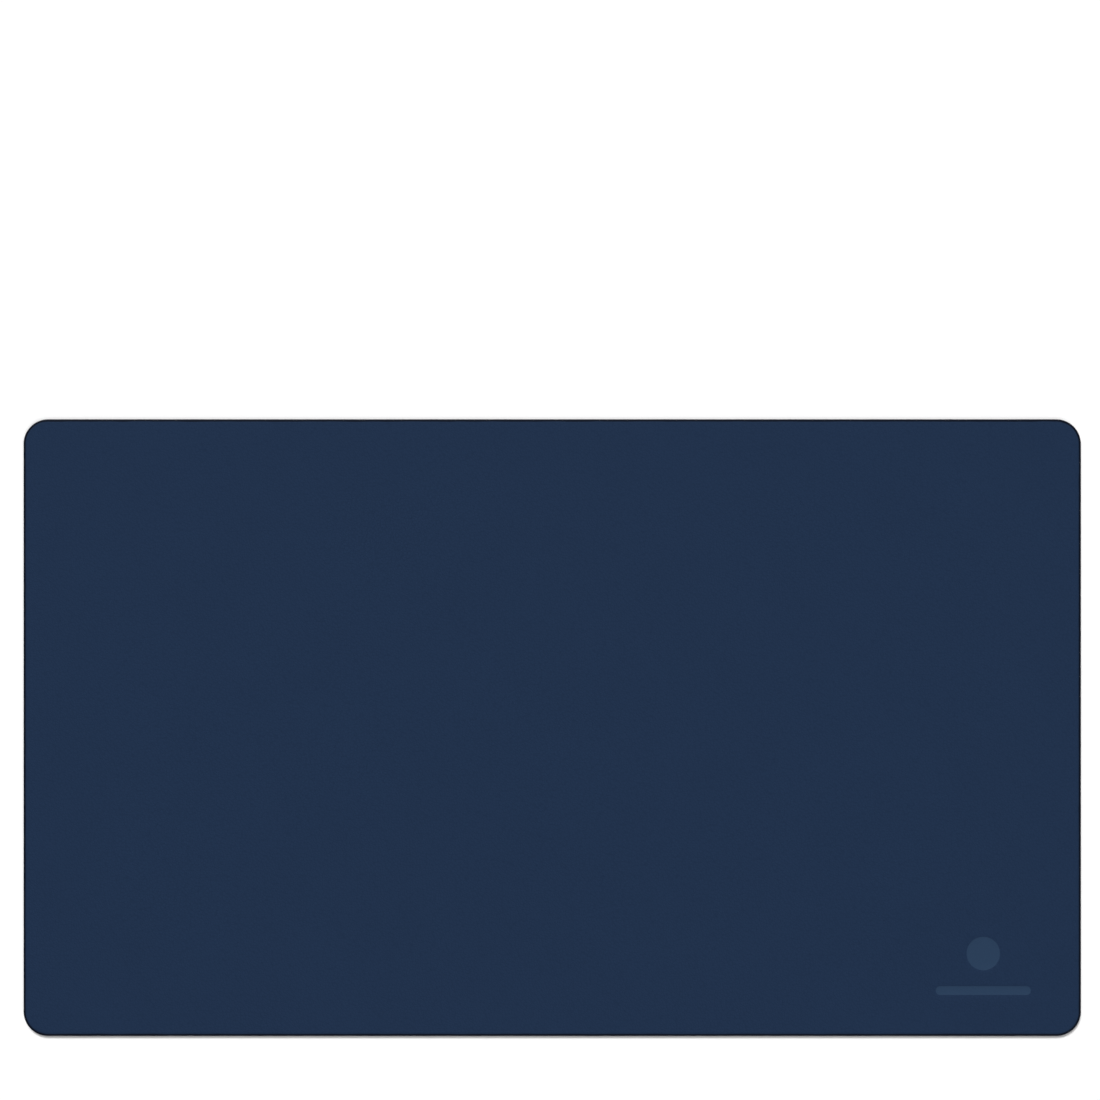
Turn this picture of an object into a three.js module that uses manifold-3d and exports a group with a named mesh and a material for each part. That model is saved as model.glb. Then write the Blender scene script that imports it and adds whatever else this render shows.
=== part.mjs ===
// A desk mat: two coated cloths glued back to back, pressed thinner along the rim and sealed round the
// cut edge with a bead of edge paint. Millimetres, +Z up. The origin is on the desk under the middle of
// the mat, +X runs along its length, and -Y is the side the user sits at.
import * as THREE from "three";
import { mergeVertices } from "three/addons/utils/BufferGeometryUtils.js";
import Module from "manifold-3d";

// The trimmed mat, over the edge paint
const matLength = 600;
const matWidth = 350;
const cornerRadius = 14;

// The layers of the laminate, from the desk up
const backSuedeThickness = 0.45;
const backClothThickness = 0.55;
const glueFilmThickness = 0.1;
const faceClothThickness = 0.55;
const faceFilmThickness = 0.35;

// The heated press sinks the face and lifts the back a little along the cut edge
const rimWidth = 2;
const rimSink = 0.25;
const rimLift = 0.15;

// The bead of edge paint stands out from the cut edge by this much
const sealThickness = 0.5;

// The decoration pressed into the face: a plain disc above a bar with round ends, measured from the
// mat's right-hand side and from its front
const markFromSide = 55.5;
const discFromFront = 47;
const barFromFront = 26;
const markDepth = 0.12;
const discRadius = 9.5;
const barLength = 54;
const barWidth = 5;

// How finely curves are cut
const cornerArcPoints = 6; // three.js cuts an arc into twice as many pieces
const rimRings = 4;
const sealSteps = 8;
const discSides = 48;
const barEndSteps = 8;

// Where each layer starts and ends, away from the rim
const backClothBottom = backSuedeThickness;
const glueFilmBottom = backClothBottom + backClothThickness;
const faceClothBottom = glueFilmBottom + glueFilmThickness;
const faceFilmBottom = faceClothBottom + faceClothThickness;
const matThickness = faceFilmBottom + faceFilmThickness;

const wasm = await Module();
wasm.setup();

// The mat's outline, drawn in by inset, counter-clockwise from above.
function outlinePoints(inset) {
  const cornerX = matLength / 2 - cornerRadius;
  const cornerY = matWidth / 2 - cornerRadius;
  const radius = cornerRadius - inset;
  const outline = new THREE.Shape();
  outline.absarc(cornerX, -cornerY, radius, -Math.PI / 2, 0);
  outline.absarc(cornerX, cornerY, radius, 0, Math.PI / 2);
  outline.absarc(-cornerX, cornerY, radius, Math.PI / 2, Math.PI);
  outline.absarc(-cornerX, -cornerY, radius, Math.PI, Math.PI * 1.5);
  return outline.getPoints(cornerArcPoints);
}

// The height, after pressing, of a point that was laid at height, fromEdge inside the cut edge.
function pressedHeight(height, fromEdge) {
  const edgeHeight = rimLift + (height / matThickness) * (matThickness - rimSink - rimLift);
  const press = (1 - Math.min(fromEdge / rimWidth, 1)) ** 2;
  return height + (edgeHeight - height) * press;
}

function geometryOf(positions, triangles) {
  const geometry = new THREE.BufferGeometry();
  geometry.setAttribute("position", new THREE.Float32BufferAttribute(positions, 3));
  geometry.setIndex(triangles);
  geometry.computeVertexNormals();
  return geometry;
}

// One layer of the laminate, from the height bottom to the height top. Neighbouring layers work out their
// shared face from the same numbers, so they meet face to face.
function layerGeometry(bottom, top) {
  const positions = [];
  const triangles = [];
  const count = outlinePoints(sealThickness).length;
  for (const height of [bottom, top]) {
    for (let ring = 0; ring < rimRings; ring++) {
      const fromEdge = (rimWidth * ring) / (rimRings - 1);
      for (const point of outlinePoints(sealThickness + fromEdge)) {
        positions.push(point.x, point.y, pressedHeight(height, fromEdge));
      }
    }
  }
  // The faces of one side, as they are wound on the top.
  const sideFaces = [];
  for (let ring = 0; ring < rimRings - 1; ring++) {
    for (let i = 0; i < count; i++) {
      const outer = ring * count + i;
      const outerNext = ring * count + ((i + 1) % count);
      sideFaces.push([outer, outerNext, outerNext + count]);
      sideFaces.push([outer, outerNext + count, outer + count]);
    }
  }
  const innerRing = (rimRings - 1) * count;
  const middle = outlinePoints(sealThickness + rimWidth);
  for (const face of THREE.ShapeUtils.triangulateShape(middle, [])) {
    sideFaces.push(face.map((corner) => corner + innerRing));
  }
  const topSide = rimRings * count;
  for (const [a, b, c] of sideFaces) {
    triangles.push(a, c, b);
    triangles.push(topSide + a, topSide + b, topSide + c);
  }
  for (let i = 0; i < count; i++) {
    const next = (i + 1) % count;
    triangles.push(i, next, topSide + next);
    triangles.push(i, topSide + next, topSide + i);
  }
  return geometryOf(positions, triangles);
}

// The bead of edge paint: a half-round strip against the cut edge of all the layers, right round the mat.
function sealGeometry() {
  const positions = [];
  const triangles = [];
  const low = pressedHeight(0, 0);
  const high = pressedHeight(matThickness, 0);
  for (let step = 0; step <= sealSteps; step++) {
    const turn = (Math.PI * step) / sealSteps;
    const bulge = sealThickness * Math.sin(turn);
    const height = (low + high) / 2 - ((high - low) / 2) * Math.cos(turn);
    for (const point of outlinePoints(sealThickness - bulge)) {
      positions.push(point.x, point.y, height);
    }
  }
  const count = outlinePoints(0).length;
  const profile = sealSteps + 1;
  for (let step = 0; step < profile; step++) {
    for (let i = 0; i < count; i++) {
      const here = step * count + i;
      const next = step * count + ((i + 1) % count);
      const above = ((step + 1) % profile) * count + i;
      const aboveNext = ((step + 1) % profile) * count + ((i + 1) % count);
      triangles.push(here, next, aboveNext, here, aboveNext, above);
    }
  }
  return geometryOf(positions, triangles);
}

function solidOf(geometry) {
  const plain = geometry.clone();
  plain.deleteAttribute("normal");
  plain.deleteAttribute("uv");
  const merged = mergeVertices(plain);
  return new wasm.Manifold(
    new wasm.Mesh({
      numProp: 3,
      vertProperties: merged.getAttribute("position").array,
      triVerts: new Uint32Array(merged.getIndex().array),
    }),
  );
}

// The face film with the decoration pressed into it.
function faceFilmGeometry() {
  const markX = matLength / 2 - markFromSide;
  const floor = matThickness - markDepth;
  const toolHeight = markDepth * 2;
  const disc = new THREE.CylinderGeometry(discRadius, discRadius, toolHeight, discSides);
  disc.rotateX(Math.PI / 2);
  disc.translate(markX, -matWidth / 2 + discFromFront, floor + toolHeight / 2);
  const barOutline = new THREE.Shape();
  const barEnd = (barLength - barWidth) / 2;
  barOutline.absarc(barEnd, 0, barWidth / 2, -Math.PI / 2, Math.PI / 2);
  barOutline.absarc(-barEnd, 0, barWidth / 2, Math.PI / 2, Math.PI * 1.5);
  const bar = new THREE.ExtrudeGeometry(barOutline, {
    depth: toolHeight,
    bevelEnabled: false,
    curveSegments: barEndSteps,
  });
  bar.translate(markX, -matWidth / 2 + barFromFront, floor);
  const film = solidOf(layerGeometry(faceFilmBottom, matThickness));
  const pressed = film.subtract(solidOf(disc)).subtract(solidOf(bar)).getMesh();
  return geometryOf(pressed.vertProperties, Array.from(pressed.triVerts));
}

function namedMesh(name, geometry, color, roughness) {
  const material = new THREE.MeshStandardMaterial({ color, roughness, metalness: 0 });
  const mesh = new THREE.Mesh(geometry, material);
  mesh.name = name;
  return mesh;
}

const faceLaminate = new THREE.Group();
faceLaminate.add(namedMesh("face_film", faceFilmGeometry(), 0x21314b, 0.6));
faceLaminate.add(namedMesh("face_cloth", layerGeometry(faceClothBottom, faceFilmBottom), 0x3a4354, 0.95));

const backLaminate = new THREE.Group();
backLaminate.add(namedMesh("back_cloth", layerGeometry(backClothBottom, glueFilmBottom), 0x3a4354, 0.95));
backLaminate.add(namedMesh("back_suede", layerGeometry(0, backClothBottom), 0x1c2638, 1));

const mat = new THREE.Group();
mat.add(faceLaminate);
mat.add(namedMesh("glue_film", layerGeometry(glueFilmBottom, faceClothBottom), 0xb8b09a, 0.5));
mat.add(backLaminate);
mat.add(namedMesh("edge_seal", sealGeometry(), 0x0b121e, 0.5));

export default mat;
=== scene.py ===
"""A desk mat of two coated cloths glued back to back, with a pressed rim and a painted edge."""

import math

import bpy
import numpy as np
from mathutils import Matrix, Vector, geometry, noise


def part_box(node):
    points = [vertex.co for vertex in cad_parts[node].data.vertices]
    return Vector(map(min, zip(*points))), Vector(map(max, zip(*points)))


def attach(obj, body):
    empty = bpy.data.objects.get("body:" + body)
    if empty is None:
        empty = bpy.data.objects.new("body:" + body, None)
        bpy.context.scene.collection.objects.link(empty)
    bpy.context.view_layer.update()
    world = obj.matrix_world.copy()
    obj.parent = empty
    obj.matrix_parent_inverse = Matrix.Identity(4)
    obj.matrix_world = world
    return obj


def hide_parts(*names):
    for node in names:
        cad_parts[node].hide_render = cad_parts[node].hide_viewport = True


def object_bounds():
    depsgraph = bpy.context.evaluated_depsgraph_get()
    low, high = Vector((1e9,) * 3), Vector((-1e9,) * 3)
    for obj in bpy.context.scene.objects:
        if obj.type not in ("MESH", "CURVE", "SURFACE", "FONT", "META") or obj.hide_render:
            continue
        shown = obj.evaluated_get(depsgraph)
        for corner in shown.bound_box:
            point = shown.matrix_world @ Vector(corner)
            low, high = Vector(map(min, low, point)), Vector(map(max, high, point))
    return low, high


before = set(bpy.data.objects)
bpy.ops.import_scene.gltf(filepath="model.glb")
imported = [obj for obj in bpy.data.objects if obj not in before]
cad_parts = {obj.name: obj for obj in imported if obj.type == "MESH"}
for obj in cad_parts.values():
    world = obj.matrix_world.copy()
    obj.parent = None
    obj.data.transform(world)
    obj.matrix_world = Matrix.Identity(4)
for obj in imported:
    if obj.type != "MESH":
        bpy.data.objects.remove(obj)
cad_low, cad_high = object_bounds()

# ---- The studio ----------------------------------------------------------------------------------
# The camera hangs straight above the back half of the mat and looks down through a long lens. A soft
# key light comes from behind the mat and a little from the left, and a weaker, softer one from the
# front. The room is brightest at the horizon.
mm = 0.001
view_width = 623.9 * mm
camera_x = -1.26 * mm
camera_y = 100.8 * mm
camera_height = 1.8
sensor_width = 36

camera = bpy.data.objects.new("camera", bpy.data.cameras.new("camera"))
camera.data.sensor_width = sensor_width
camera.data.lens = sensor_width * camera_height / view_width
camera.location = (camera_x, camera_y, cad_high.z + camera_height)
bpy.context.scene.collection.objects.link(camera)
bpy.context.scene.camera = camera
bpy.context.scene.view_settings.view_transform = "Standard"


def sun(name, strength, spread, azimuth, elevation):
    """A soft light that comes from azimuth, anticlockwise from +X, at elevation above the desk."""
    light = bpy.data.lights.new(name, "SUN")
    light.energy = strength
    light.angle = math.radians(spread)
    lamp = bpy.data.objects.new(name, light)
    lamp.rotation_euler = (0, math.radians(90 - elevation), math.radians(azimuth))
    bpy.context.scene.collection.objects.link(lamp)


sun("key_light", strength=3.35, spread=24, azimuth=105, elevation=45)
sun("front_light", strength=1.05, spread=60, azimuth=295, elevation=48)


class Shade:
    """A socket in a material. Arithmetic on it adds the node that works the sum out."""

    def __init__(self, tree, socket=None):
        self.tree = tree
        self.socket = socket

    def node(self, kind, settings=(), inputs=(), output=0):
        """Adds a node, sets it up, fills or links its inputs, and gives one of its outputs."""
        made = self.tree.nodes.new(kind)
        for name, value in dict(settings).items():
            setattr(made, name, value)
        for name, value in dict(inputs).items():
            if isinstance(value, Shade):
                self.tree.links.new(value.socket, made.inputs[name])
            else:
                made.inputs[name].default_value = value
        return Shade(self.tree, made.outputs[output] if made.outputs else None)

    def sum(self, operation, *parts):
        """A Math node, or a Vector Math node where any part is a vector."""
        if not any(isinstance(p, Shade) and p.socket.type in ("VECTOR", "RGBA") for p in parts):
            return self.node("ShaderNodeMath", {"operation": operation}, enumerate(parts))
        parts = [(p,) * 3 if isinstance(p, (int, float)) else p for p in parts]
        return self.node("ShaderNodeVectorMath", {"operation": operation}, enumerate(parts))

    def colour(self, share, first, second):
        """A Mix node that goes from the first colour to the second as share grows from 0 to 1."""
        inputs = {0: share, 6: first, 7: second}
        return self.node("ShaderNodeMix", {"data_type": "RGBA"}, inputs, 2)

    def __add__(self, other):
        return self.sum("ADD", self, other)

    def __sub__(self, other):
        return self.sum("SUBTRACT", self, other)

    def __rsub__(self, other):
        return self.sum("SUBTRACT", other, self)

    def __mul__(self, other):
        return self.sum("MULTIPLY", self, other)

    __radd__ = __add__
    __rmul__ = __mul__


def blank_finish(name):
    """A new material with no nodes, and the handle that adds them."""
    material = bpy.data.materials.new(name)
    material.use_nodes = True
    material.node_tree.nodes.clear()
    return material, Shade(material.node_tree)


room = bpy.data.worlds.new("room")
room.use_nodes = True
room.node_tree.nodes.clear()
bpy.context.scene.world = room
walls = Shade(room.node_tree)
upward = walls.node("ShaderNodeSeparateXYZ", (), {0: walls.node("ShaderNodeTexCoord")}, "Z")


def fading(height_from, height_to):
    """Grows smoothly from 0 to 1 between two heights above the horizon, where 1 is overhead."""
    return walls.node(
        "ShaderNodeMapRange",
        {"interpolation_type": "SMOOTHSTEP"},
        {"Value": upward, "From Min": height_from, "From Max": height_to},
    )


horizon_glow = 1.03
wall_dimming = 0.79
ceiling_dimming = 0.13
wall_glow = horizon_glow - fading(0.02, 0.24) * wall_dimming - fading(0.30, 0.90) * ceiling_dimming
glow = walls.node("ShaderNodeBackground", (), {"Color": (1, 1, 1, 1), "Strength": wall_glow})
walls.node("ShaderNodeOutputWorld", (), {"Surface": glow})

# ---- The desk ------------------------------------------------------------------------------------
# A pale, smooth desk top, larger than anything that the camera sees. The mat lies on it.
desk_reach = 30.0
desk_drop = 0.02 * mm
desk_white = (0.90, 0.90, 0.90, 1)

desk_signs = [(-1, -1), (1, -1), (1, 1), (-1, 1)]
desk_corners = [(x * desk_reach, y * desk_reach, -desk_drop) for x, y in desk_signs]
desk_mesh = bpy.data.meshes.new("desk")
desk_mesh.from_pydata(desk_corners, [], [(0, 1, 2, 3)])
desk = bpy.data.objects.new("desk", desk_mesh)
bpy.context.scene.collection.objects.link(desk)

desk_finish, lacquer = blank_finish("pale_desk_lacquer")
desk_place = lacquer.node("ShaderNodeTexCoord", (), (), "Object")
desk_cloud = {"Vector": desk_place, "Scale": 3.0, "Detail": 3.0}
lacquer_cloud = lacquer.node("ShaderNodeTexNoise", (), desk_cloud)
lacquer_shader = lacquer.node(
    "ShaderNodeBsdfPrincipled",
    (),
    {
        "Base Color": desk_white,
        "Roughness": 0.55 + lacquer_cloud * 0.1,
        "Specular IOR Level": 0.2,
    },
)
lacquer.node("ShaderNodeOutputMaterial", (), {"Surface": lacquer_shader})
desk_mesh.materials.append(desk_finish)

# ---- The suede back ------------------------------------------------------------------------------
# The mat lies on a buffed polyurethane suede that doesn't slip. Every layer is trimmed to the same
# outline, and a heated press thins the stack along the cut edge.
cut_low, cut_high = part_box("face_film")
seal_low, seal_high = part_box("edge_seal")
cut_size = (round(cut_high.x - cut_low.x, 4), round(cut_high.y - cut_low.y, 4))
mat_top = cut_high.z
corner_radius = 13.5 * mm
core_x = cut_high.x - corner_radius
core_y = cut_high.y - corner_radius
corner_steps = 24
side_step = 4 * mm
rim_width = 2 * mm
rim_lift = seal_low.z
rim_sink = mat_top - seal_high.z
plain_insets = [0, 0.5 * mm, 1.2 * mm, rim_width]


def edge_walk():
    """The line of corner centres round the mat, and the way out from it at each step."""
    spine, outward = [], []
    centres = [(core_x, -core_y), (core_x, core_y), (-core_x, core_y), (-core_x, -core_y)]
    for quarter in range(4):
        here = Vector(centres[quarter])
        there = Vector(centres[(quarter + 1) % 4])
        for step in range(corner_steps + 1):
            turn = math.radians(90) * (quarter - 1 + step / corner_steps)
            spine.append(here)
            outward.append((math.cos(turn), math.sin(turn)))
        side_steps = round((there - here).length / side_step)
        for step in range(1, side_steps):
            spine.append(here.lerp(there, step / side_steps))
            outward.append(outward[-1])
    return np.array(spine), np.array(outward)


edge_spine, edge_outward = edge_walk()
edge_count = len(edge_spine)


def outline(inset):
    """The points of the cut edge's outline, drawn in by inset, counter-clockwise from above."""
    return edge_spine + edge_outward * (corner_radius - inset)


def inset_at(x, y):
    """How far a point lies inside the cut edge, up to the corners' radius."""
    return corner_radius - math.hypot(max(abs(x) - core_x, 0), max(abs(y) - core_y, 0))


def pressed(height, inset):
    """How high the press leaves a point that was laid at height, inset inside the cut edge."""
    edge_height = rim_lift + height / mat_top * (mat_top - rim_sink - rim_lift)
    press = (1 - min(inset / rim_width, 1)) ** 2
    return height + (edge_height - height) * press


def side_surface(height, insets=plain_insets, spacing=10 * mm, loops=(), relief=None):
    """One side of a layer: rings down the rim, then a net of points over the middle. Returns the
    points and the faces as they are wound on the top. Closed loops stand in the net, and relief
    gives the change in height at a point."""
    points = [(x, y, pressed(height, inset)) for inset in insets for x, y in outline(inset)]
    faces = []
    for ring in range(len(insets) - 1):
        for i in range(edge_count):
            here = ring * edge_count + i
            after = ring * edge_count + (i + 1) % edge_count
            faces.append((here, after, after + edge_count, here + edge_count))
    first = (len(insets) - 1) * edge_count
    net = [Vector(p) for p in outline(insets[-1])]
    edges = [(i, (i + 1) % edge_count) for i in range(edge_count)]
    for loop in loops:
        edges += [(len(net) + i, len(net) + (i + 1) % len(loop)) for i in range(len(loop))]
        net += [Vector(p) for p in loop]
    loop_points = np.array(net[edge_count:]).reshape(-1, 2)
    half_x, half_y = outline(insets[-1]).max(0)
    columns, rows = round(2 * half_x / spacing), round(2 * half_y / spacing)
    for row in range(1, rows):
        for column in range(1, columns):
            x = half_x * (2 * column / columns - 1)
            y = half_y * (2 * row / rows - 1)
            near_loop = loops and np.hypot(*(loop_points - (x, y)).T).min() < spacing / 3
            if inset_at(x, y) > insets[-1] + spacing / 2 and not near_loop:
                net.append(Vector((x, y)))
    inside_edges = 1
    merge_distance = 1e-5
    net_mm = [point / mm for point in net]
    woven = geometry.delaunay_2d_cdt(net_mm, edges, [], inside_edges, merge_distance)
    triangles, origins = woven[2], woven[3]
    index = [first + origin[0] for origin in origins]
    points += [(p.x, p.y, height) for p in net[edge_count:]]
    faces += [tuple(index[corner] for corner in triangle) for triangle in triangles]
    if relief:
        points = [(x, y, z + relief(x, y)) for x, y, z in points]
    return points, faces


def flat_map(mesh, upper_count, lower_count, upper_share):
    """Gives each spot of the sheet its own place on the map that its finish is stored on. The top
    comes first in the mesh's faces, then the underside, then the cut edge."""
    strip = 0.01
    gap = 0.006
    layer = mesh.uv_layers.new(name="OFBake")
    for number, face in enumerate(mesh.polygons):
        for turn, loop in enumerate(face.loop_indices):
            x, y, _ = mesh.vertices[mesh.loops[loop].vertex_index].co
            across = 0.5 + x / cut_size[0] * (1 - 2 * gap)
            along = 0.5 + y / cut_size[1]
            if number < upper_count:
                spot = (across, 1 - gap - (upper_share - 2 * gap) * (1 - along))
            elif number < upper_count + lower_count:
                spot = (across, gap + (1 - upper_share - strip - 2 * gap) * along)
            else:
                steps_round = number - upper_count - lower_count + (turn in (1, 2))
                down_strip = 0.9 if turn < 2 else 0.3
                spot = (steps_round / edge_count, 1 - upper_share - strip * down_strip)
            layer.data[loop].uv = spot


def laid_sheet(name, low, high, upper_share=0.5, **top):
    """A closed sheet between the heights low and high, trimmed and pressed like the others. Its map
    lays the top over upper_share of the height, the cut edge in a strip, and the underside below."""
    upper, upper_faces = side_surface(high, **top)
    lower, lower_faces = side_surface(low)
    faces = list(upper_faces)
    faces += [tuple(len(upper) + corner for corner in reversed(face)) for face in lower_faces]
    for i in range(edge_count):
        after = (i + 1) % edge_count
        faces.append((len(upper) + i, len(upper) + after, after, i))
    mesh = bpy.data.meshes.new(name)
    mesh.from_pydata(upper + lower, [], faces)
    flat_map(mesh, len(upper_faces), len(lower_faces), upper_share)
    mesh.shade_smooth()
    mesh.set_sharp_from_angle(angle=math.radians(50))
    piece = bpy.data.objects.new(name, mesh)
    bpy.context.scene.collection.objects.link(piece)
    return piece


suede_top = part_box("back_cloth")[0].z
suede = laid_sheet("suede_back", 0.0, suede_top, upper_share=0.1)

# Every finish on the mat is laid out in millimetres, and so are the heights of its relief.
nap_height = 0.25
nap_dark = (0.006, 0.010, 0.022, 1)
nap_pale = (0.026, 0.038, 0.066, 1)
nap_shine = (0.45, 0.55, 0.75, 1)
suede_finish, nap = blank_finish("buffed_suede")
nap_place = nap.node("ShaderNodeTexCoord", (), (), "Object") * (1 / mm)
nap_fibre = {"Vector": nap_place, "Scale": 1.1, "Detail": 5.0, "Roughness": 0.7}
nap_fibres = nap.node("ShaderNodeTexNoise", (), nap_fibre)
nap_stroke = {"Vector": nap_place * (0.03, 0.12, 0.1), "Scale": 1.0, "Detail": 4.0}
nap_strokes = nap.node("ShaderNodeTexNoise", (), nap_stroke)
nap_shader = nap.node(
    "ShaderNodeBsdfPrincipled",
    (),
    {
        "Base Color": nap.colour(nap_fibres * 0.5 + nap_strokes * 0.5, nap_dark, nap_pale),
        "Roughness": 0.86 + nap_strokes * 0.12,
        "Specular IOR Level": 0.15,
        "Sheen Weight": 0.35,
        "Sheen Roughness": 0.45,
        "Sheen Tint": nap_shine,
        "Normal": nap.node("ShaderNodeBump", (), {"Height": nap_fibres * nap_height, "Distance": mm}),
    },
)
nap.node("ShaderNodeOutputMaterial", (), {"Surface": nap_shader})
suede.data.materials.append(suede_finish)

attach(suede, "root")
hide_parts("back_suede")

# ---- The two base cloths -------------------------------------------------------------------------
# Each coat is cast on a plain-woven base cloth. The back's cloth and the face's cloth are the same
# cloth, and they meet at the glue.
thread_pitch = 1.2
thread_waver = 0.9
thread_rise = 0.14
lint_rise = 0.05
# The weave's colour is painted darker down between the threads, as painted shade, and paler on their
# tops; loose fibres add random tone.
thread_shade_dark = (0.030, 0.036, 0.050, 1)
thread_pale = (0.150, 0.165, 0.200, 1)

cloth_finish, weave = blank_finish("base_cloth_weave")
cloth_place = weave.node("ShaderNodeTexCoord", (), (), "Object") * (1 / mm)
cloth_pull = {"Vector": cloth_place, "Scale": 0.12, "Detail": 2.0}
pulled = (weave.node("ShaderNodeTexNoise", (), cloth_pull, "Color") - 0.5) * thread_waver
thread_turns = (cloth_place + pulled) * (math.pi / thread_pitch)
warp_wave = weave.sum("SINE", weave.node("ShaderNodeSeparateXYZ", (), {0: thread_turns}, "X"))
weft_wave = weave.sum("SINE", weave.node("ShaderNodeSeparateXYZ", (), {0: thread_turns}, "Y"))
over = {"Value": warp_wave * weft_wave, "From Min": -0.25, "From Max": 0.25}
warp_over = weave.node("ShaderNodeMapRange", (), over)
warp_height = weave.sum("ABSOLUTE", warp_wave) * (0.35 + warp_over * 0.65)
weft_height = weave.sum("ABSOLUTE", weft_wave) * (1.0 - warp_over * 0.65)
thread_height = warp_height + weft_height
loose_fibre = {"Vector": cloth_place, "Scale": 2.2, "Detail": 4.0, "Roughness": 0.65}
lint = weave.node("ShaderNodeTexNoise", (), loose_fibre)
thread_relief = thread_height * thread_rise + lint * lint_rise
# Painted shade between the threads, with paler thread tops.
weave_shader = weave.node(
    "ShaderNodeBsdfPrincipled",
    (),
    {
        "Base Color": weave.colour(thread_height * 0.45 + lint * 0.35, thread_shade_dark, thread_pale),
        "Roughness": 0.88 + lint * 0.1,
        "Specular IOR Level": 0.2,
        "Sheen Weight": 0.2,
        "Normal": weave.node("ShaderNodeBump", (), {"Height": thread_relief, "Distance": mm}),
    },
)
weave.node("ShaderNodeOutputMaterial", (), {"Surface": weave_shader})

glue_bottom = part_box("back_cloth")[1].z
glue_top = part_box("glue_film")[1].z
coat_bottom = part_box("face_cloth")[1].z
cloths = [
    ("back_base_cloth", "back_cloth", suede_top, glue_bottom, "suede_back"),
    ("face_base_cloth", "face_cloth", glue_top, coat_bottom, "glue_sheet"),
]
for piece_name, node, low, high, lies_on in cloths:
    cloth = laid_sheet(piece_name, low, high)
    cloth.data.materials.append(cloth_finish)
    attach(cloth, "root")
    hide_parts(node)

# ---- The glue ------------------------------------------------------------------------------------
# A thin film of hot-melt glue, rolled between the two cloths. It is cloudy and a little yellow, with
# small blisters where air was caught.
glue = laid_sheet("glue_sheet", glue_bottom, glue_top)

cloud_rise = 0.2
blister_rise = 0.05
glue_thick = (0.33, 0.27, 0.17, 1)
glue_thin = (0.62, 0.57, 0.46, 1)
glue_finish, melt = blank_finish("hot_melt_glue")
melt_place = melt.node("ShaderNodeTexCoord", (), (), "Object") * (1 / mm)
melt_cloud = melt.node("ShaderNodeTexNoise", (), {"Vector": melt_place, "Scale": 0.05, "Detail": 5.0})
bubble = melt.node("ShaderNodeTexVoronoi", (), {"Vector": melt_place, "Scale": 0.16}, "Distance")
melt_blister = melt.node(
    "ShaderNodeMapRange",
    {"interpolation_type": "SMOOTHSTEP"},
    {"Value": bubble, "From Min": 0.22, "From Max": 0.12},
)
melt_relief = melt_cloud * cloud_rise + melt_blister * blister_rise
melt_shader = melt.node(
    "ShaderNodeBsdfPrincipled",
    (),
    {
        "Base Color": melt.colour(melt_cloud * 0.8 + melt_blister * 0.2, glue_thick, glue_thin),
        "Roughness": 0.30 + melt_cloud * 0.25,
        "Normal": melt.node("ShaderNodeBump", (), {"Height": melt_relief, "Distance": mm}),
    },
)
melt.node("ShaderNodeOutputMaterial", (), {"Surface": melt_shader})
glue.data.materials.append(glue_finish)

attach(glue, "root")
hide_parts("glue_film")

# ---- The wear coat -------------------------------------------------------------------------------
# The face is a pigmented polyurethane coat, embossed with a fine pebble grain. A plain decoration, a
# disc above a bar, is pressed into it near its front right corner.
mark_x = cad_high.x - 55.5 * mm
disc = Vector((mark_x, cad_low.y + 47 * mm))
disc_radius = 9.5 * mm
bar_y = cad_low.y + 26 * mm
bar_reach = 24.5 * mm
bar_radius = 2.5 * mm
mark_depth = 0.12 * mm
mark_shoulder = 0.35 * mm
disc_steps = 72
bar_end_steps = 16
bar_side_steps = 25
ripple_height = 0.02 * mm
coat_insets = [inset * mm for inset in (0, 0.08, 0.2, 0.35, 0.55, 0.8, 1.1, 1.4, 1.7, 2.05)]


def outside_mark(x, y):
    """How far a point is outside the nearer shape of the decoration, or below 0 inside it."""
    bar_centre = Vector((mark_x + max(-bar_reach, min(x - mark_x, bar_reach)), bar_y))
    outside_bar = (Vector((x, y)) - bar_centre).length - bar_radius
    outside_disc = (Vector((x, y)) - disc).length - disc_radius
    return min(outside_bar, outside_disc)


def arc(centre, radius, start, sweep, steps):
    """Points round a centre, from start through sweep, in degrees."""
    turns = [math.radians(start + sweep * step / steps) for step in range(steps + 1)]
    return [centre + Vector((math.cos(turn), math.sin(turn))) * radius for turn in turns]


def mark_loops():
    """Closed loops down the shoulder of the disc and of the bar."""
    loops = []
    for share in (-1, -0.5, 0, 0.5, 1):
        reach = share * mark_shoulder / 2
        loops.append(arc(disc, disc_radius + reach, 0, 360, disc_steps)[:-1])
        bar = []
        for end, start in ((1, -90), (-1, 90)):
            end_centre = Vector((mark_x + end * bar_reach, bar_y))
            bar += arc(end_centre, bar_radius + reach, start, 180, bar_end_steps)
            along_side = Vector((-end * 2 * bar_reach / bar_side_steps, 0))
            bar += [bar[-1] + along_side * step for step in range(1, bar_side_steps)]
        loops.append(bar)
    return loops


def pressed_share(x, y):
    """How far the decoration's tool has sunk at a point, from 0 to its whole depth at 1."""
    share = min(max(0.5 - outside_mark(x, y) / mark_shoulder, 0), 1)
    return share * share * (3 - 2 * share)


def coat_relief(x, y):
    """The decoration, and the soft unevenness that any rolled coat has."""
    ripple = noise.noise(Vector((x, y, 0)) * 32) * 0.6 + noise.noise(Vector((x, y, 1)) * 75) * 0.4
    return ripple * ripple_height - pressed_share(x, y) * mark_depth


coat = laid_sheet(
    "wear_coat",
    coat_bottom,
    mat_top,
    upper_share=0.93,
    insets=coat_insets,
    spacing=4 * mm,
    loops=mark_loops(),
    relief=coat_relief,
)
coat_places = [point.co for point in coat.data.vertices]
coat_middle = (coat_bottom + mat_top) / 2
sunk = coat.data.attributes.new("pressed_mark", "FLOAT", "POINT")
sunk.data.foreach_set("value", [pressed_share(x, y) * (z > coat_middle) for x, y, z in coat_places])
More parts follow.
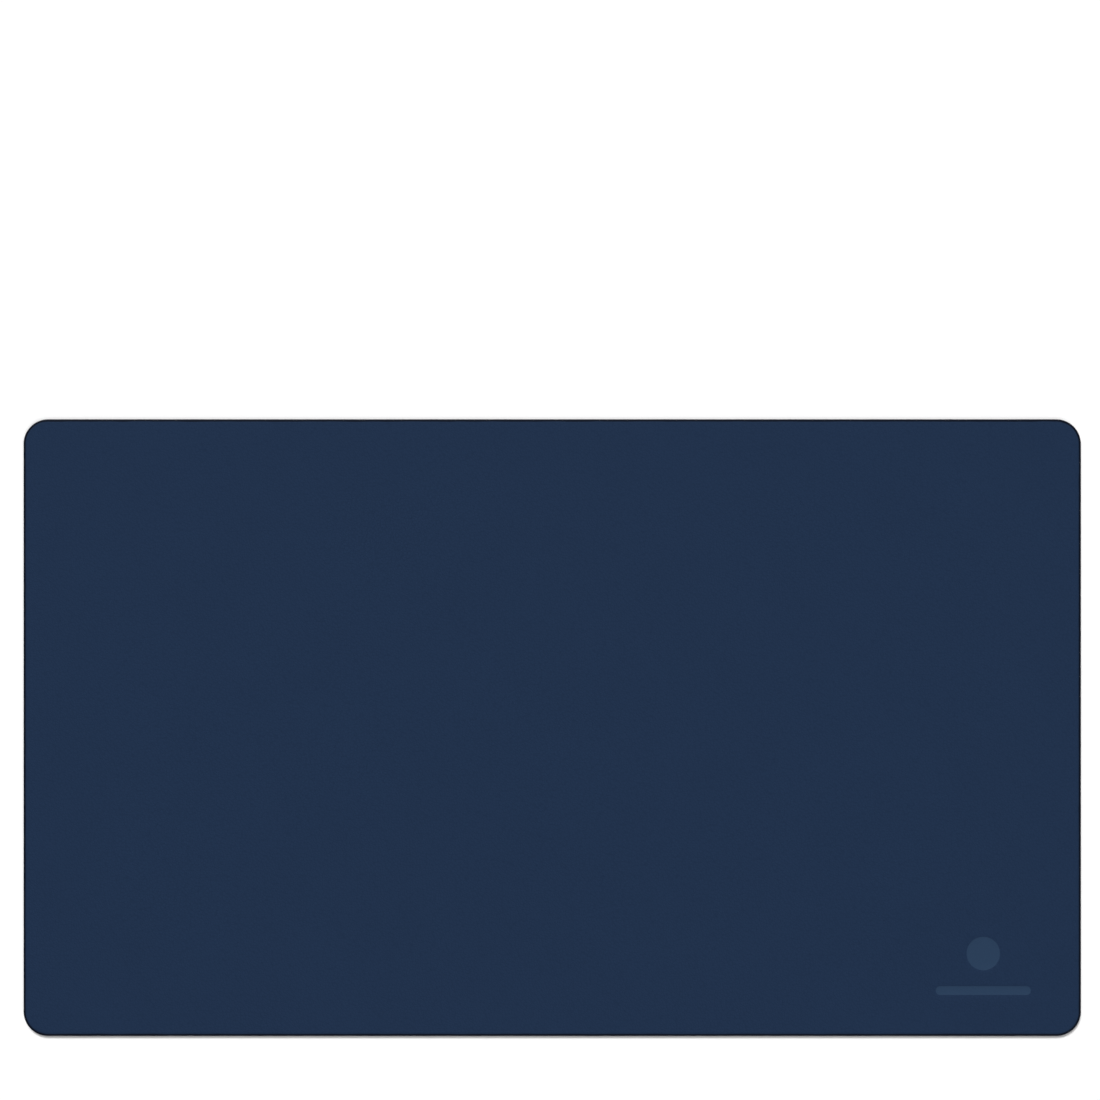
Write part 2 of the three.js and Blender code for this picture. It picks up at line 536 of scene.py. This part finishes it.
# The rim's share, 1 at the cut edge and 0 at the rim's inner side, sets where the rim's painted shade
# falls.
rim = coat.data.attributes.new("pressed_rim", "FLOAT", "POINT")
rim.data.foreach_set("value", [1 - min(inset_at(x, y) / rim_width, 1) for x, y, _ in coat_places])

# Each pebble of the grain is a low dome with a crease round it. The colour is painted darker in the
# creases, as painted shade, and a little lighter on the domes, as a painted sheen. The press has
# flattened the grain inside the decoration. The rim is painted a little darker, as painted shade
# where it curves down to the cut edge.
pebble_size = 1.5
pebble_height = 0.06
pebble_waver = 0.8
pore_height = 0.016
crease_share = 0.55
dome_share = 0.7
pressed_flat = 0.75
# The grain's two navies: darker in the creases as painted shade, lighter on the domes as a painted
# sheen.
crease_shade_navy = (0.0094, 0.0218, 0.0517, 1)
pebble_navy = (0.0118, 0.0269, 0.0628, 1)
# The rim's navy is painted shade, darker towards the cut edge where the rim curves down.
rim_shade_navy = (0.0087, 0.0182, 0.0381, 1)
mark_navy = (0.0187, 0.0400, 0.0810, 1)
coat_finish, skin = blank_finish("pebbled_polyurethane")
skin_place = skin.node("ShaderNodeTexCoord", (), (), "Object") * (1 / mm)
skin_pull = {"Vector": skin_place, "Scale": 0.6, "Detail": 2.0}
wander = skin.node("ShaderNodeTexNoise", (), skin_pull, "Color")
pebble_place = {"Vector": skin_place + (wander - 0.5) * pebble_waver, "Scale": 1 / pebble_size}
to_crease = skin.node("ShaderNodeTexVoronoi", {"feature": "DISTANCE_TO_EDGE"}, pebble_place, "Distance")
to_middle = skin.node("ShaderNodeTexVoronoi", {"feature": "F1"}, pebble_place, "Distance")
out_of_crease = skin.node(
    "ShaderNodeMapRange",
    {"interpolation_type": "SMOOTHSTEP"},
    {"Value": to_crease, "From Min": 0.0, "From Max": 0.22},
)
pebble = out_of_crease * crease_share + (1 - crease_share) - to_middle * to_middle * dome_share
cloud = skin.node("ShaderNodeTexNoise", (), {"Vector": skin_place, "Scale": 0.02, "Detail": 4.0})
fine_pore = {"Vector": skin_place, "Scale": 1.1, "Detail": 4.0, "Roughness": 0.6}
pores = skin.node("ShaderNodeTexNoise", (), fine_pore)
mark = skin.node("ShaderNodeAttribute", {"attribute_name": "pressed_mark"}, (), "Fac")
rim_shade = skin.node("ShaderNodeAttribute", {"attribute_name": "pressed_rim"}, (), "Fac")
# Painted shade in the creases and a painted sheen on the domes, mixed with a random cloud of tone.
navy = skin.colour(pebble * 0.6 + cloud * 0.4, crease_shade_navy, pebble_navy)
# Painted shade along the rim, darkest at the cut edge.
navy = skin.colour(rim_shade * 0.6, navy, rim_shade_navy)
navy = skin.colour(mark, navy, mark_navy)
skin_relief = pebble * (1 - mark * pressed_flat) * pebble_height + pores * pore_height
skin_shader = skin.node(
    "ShaderNodeBsdfPrincipled",
    (),
    {
        "Base Color": navy,
        "Roughness": 0.64 - pebble * 0.08 + cloud * 0.06 - mark * 0.06,
        "Specular IOR Level": 0.05,
        "Normal": skin.node("ShaderNodeBump", (), {"Height": skin_relief, "Distance": mm}),
    },
)
skin.node("ShaderNodeOutputMaterial", (), {"Surface": skin_shader})
coat.data.materials.append(coat_finish)

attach(coat, "root")
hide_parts("face_film")

# ---- The edge paint ------------------------------------------------------------------------------
# The cut edge of all the layers is sealed with a thick, dark edge paint. It stands out as a rounded
# bead and laps a little over the face and under the back.
bead_out = cad_high.x - cut_high.x
lap_over = 0.85 * mm
lap_under = 0.3 * mm
lap_thick = 0.035 * mm
lap_waver = 0.25
bead_waver = 0.04
bead_steps = 14
bead_fullness = 0.7


def bead_section(inset_top, inset_bottom, bulge):
    """The bead's outline across the edge, as steps out from the cut edge and heights: down the lap
    over the face, round the bead, back under the mat, and up the cut edge."""
    top = pressed(mat_top, 0) + lap_thick
    bottom = pressed(0, 0) - lap_thick
    middle, half = (top + bottom) / 2, (top - bottom) / 2
    section = []
    for share, thickness in ((1, 0), (0.8, 0.7), (0.4, 1)):
        inset = share * inset_top
        section.append((-inset, pressed(mat_top, inset) + thickness * lap_thick))
    for step in range(bead_steps + 1):
        turn = math.pi * step / bead_steps
        section.append((bulge * math.sin(turn) ** bead_fullness, middle + half * math.cos(turn)))
    for share, thickness in ((0.5, 1), (1, 0)):
        inset = share * inset_bottom
        section.append((-inset, pressed(0, inset) - thickness * lap_thick))
    section.append((0, pressed(0, 0)))
    section.append((0, pressed(mat_top, 0)))
    return section


bead_points, bead_faces, bead_spots = [], [], []
for i, (x, y) in enumerate(outline(0)):
    after = (i + 1) % edge_count
    uneven = noise.noise(Vector((x, y, 2)) * 60), noise.noise(Vector((x, y, 3)) * 140)
    section = bead_section(
        lap_over * (1 + lap_waver * uneven[1]),
        lap_under * (1 + lap_waver * uneven[0]),
        bead_out * (1 - bead_waver + bead_waver * uneven[0]),
    )
    for out, height in section:
        bead_points.append((x + edge_outward[i][0] * out, y + edge_outward[i][1] * out, height))
    here, there = i * len(section), after * len(section)
    for j in range(len(section)):
        above = (j + 1) % len(section)
        bead_faces.append((here + j, here + above, there + above, there + j))
        bead_spots.append([(i, j), (i, j + 1), (i + 1, j + 1), (i + 1, j)])

bead_mesh = bpy.data.meshes.new("edge_paint")
bead_mesh.from_pydata(bead_points, [], bead_faces)
bead_rows = 8
row_gap = 0.05
end_gap = 0.01
row_length = math.ceil(edge_count / bead_rows)
bead_map = bead_mesh.uv_layers.new(name="OFBake")
for face, spots in zip(bead_mesh.polygons, bead_spots):
    row = spots[0][0] // row_length
    for loop, (i, j) in zip(face.loop_indices, spots):
        bead_map.data[loop].uv = (
            end_gap + (1 - 2 * end_gap) * (i - row * row_length) / row_length,
            (row + row_gap + (1 - 2 * row_gap) * j / len(section)) / bead_rows,
        )
bead_mesh.shade_smooth()
bead_mesh.set_sharp_from_angle(angle=math.radians(60))
bead = bpy.data.objects.new("edge_paint", bead_mesh)
bpy.context.scene.collection.objects.link(bead)

run_rise = 0.05
paint_thick = (0.0010, 0.0026, 0.0080, 1)
paint_thin = (0.0020, 0.0048, 0.0130, 1)
paint_finish, paint = blank_finish("dark_edge_paint")
paint_place = paint.node("ShaderNodeTexCoord", (), (), "Object") * (1 / mm)
paint_run = paint_place * (1.0, 1.0, 2.5)
paint_flow = paint.node("ShaderNodeTexNoise", (), {"Vector": paint_run, "Scale": 0.45, "Detail": 3.0})
paint_shader = paint.node(
    "ShaderNodeBsdfPrincipled",
    (),
    {
        "Base Color": paint.colour(paint_flow, paint_thick, paint_thin),
        "Roughness": 0.42 + paint_flow * 0.16,
        "Specular IOR Level": 0.06,
        "Normal": paint.node("ShaderNodeBump", (), {"Height": paint_flow * run_rise, "Distance": mm}),
    },
)
paint.node("ShaderNodeOutputMaterial", (), {"Surface": paint_shader})
bead_mesh.materials.append(paint_finish)

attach(bead, "root")
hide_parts("edge_seal")
